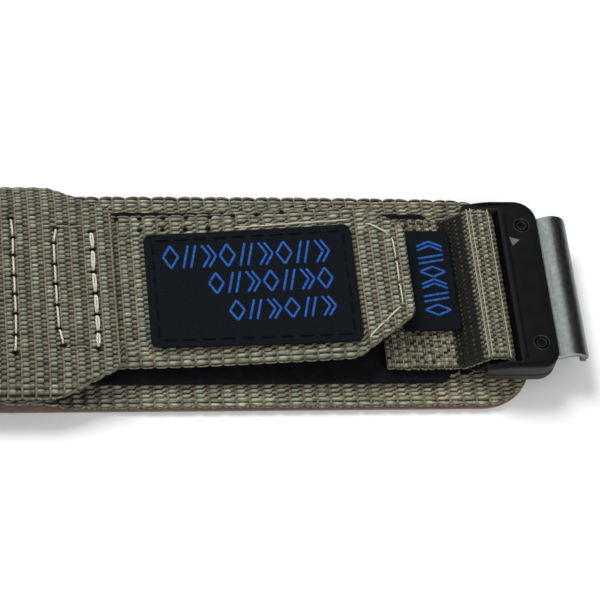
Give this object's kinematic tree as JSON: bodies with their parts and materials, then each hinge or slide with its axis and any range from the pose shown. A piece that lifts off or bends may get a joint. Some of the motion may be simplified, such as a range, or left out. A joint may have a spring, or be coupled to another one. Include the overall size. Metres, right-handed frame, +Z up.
{
  "type": "nylon watch strap",
  "caption": "Nylon webbing watch strap with a hook-and-loop flap over a wide pad and a hinged metal lug connector at each end.",
  "frame": {"origin": "on the table under the strap, midway between the two connector bars", "axes": "+X along the strap towards the connector of the padded half, +Y across the strap, +Z up, away from the wrist face"},
  "size_m": [0.133, 0.0354, 0.0067],
  "materials": {
    "webbing": "ribbed olive nylon webbing",
    "loop_tape": "black napped loop tape",
    "hook_tape": "black hook tape",
    "label": "fine black woven label",
    "housing": "matte black moulded plastic",
    "lug": "brushed gunmetal",
    "fastener": "blackened steel",
    "spring": "bare spring steel"
  },
  "bodies": {
    "base_half": {"base_pad": "webbing", "loop_tape": "loop_tape", "side_label": "label", "right_anchor_loop": "webbing"},
    "closure_half": {"closure_webbing": "webbing", "flap_root": "webbing", "left_anchor_loop": "webbing"},
    "flap": {"flap_webbing": "webbing", "hook_tape": "hook_tape", "label_patch": "label"},
    "right_connector": {"right_housing_cover": "housing", "right_housing_base": "housing", "right_bar": "fastener", "right_screw_near": "fastener", "right_screw_far": "fastener", "right_lug_hook": "lug", "right_detent_spring": "spring"},
    "right_detent": {"right_detent_button": "lug"},
    "left_connector": {"left_housing_cover": "housing", "left_housing_base": "housing", "left_bar": "fastener", "left_screw_near": "fastener", "left_screw_far": "fastener", "left_lug_hook": "lug", "left_detent_spring": "spring"},
    "left_detent": {"left_detent_button": "lug"}
  },
  "joints": [
    {"name": "strap_adjust", "type": "slide", "parent": "base_half", "child": "closure_half", "axis": [-1, 0, 0], "range_m": [0, 0.035]},
    {"name": "flap_peel", "type": "hinge", "parent": "closure_half", "child": "flap", "pos_m": [-0.0011, 0, 0.0054], "axis": [0, -1, 0], "range_deg": [0, 150]},
    {"name": "right_connector_pivot", "type": "hinge", "parent": "base_half", "child": "right_connector", "pos_m": [0.0526, 0, 0.00415], "axis": [0, -1, 0], "range_deg": [-8, 75]},
    {"name": "left_connector_pivot", "type": "hinge", "parent": "closure_half", "child": "left_connector", "pos_m": [-0.0526, 0, 0.00415], "axis": [0, 1, 0], "range_deg": [-8, 75]},
    {"name": "right_detent_press", "type": "slide", "parent": "right_connector", "child": "right_detent", "axis": [0, 0, 1], "range_m": [0, 0.0004], "stiffness_N_per_m": 400, "springref_m": -0.0005, "deforming": ["right_detent_spring"]},
    {"name": "left_detent_press", "type": "slide", "parent": "left_connector", "child": "left_detent", "axis": [0, 0, 1], "range_m": [0, 0.0004], "stiffness_N_per_m": 400, "springref_m": -0.0005, "deforming": ["left_detent_spring"]}
  ]
}
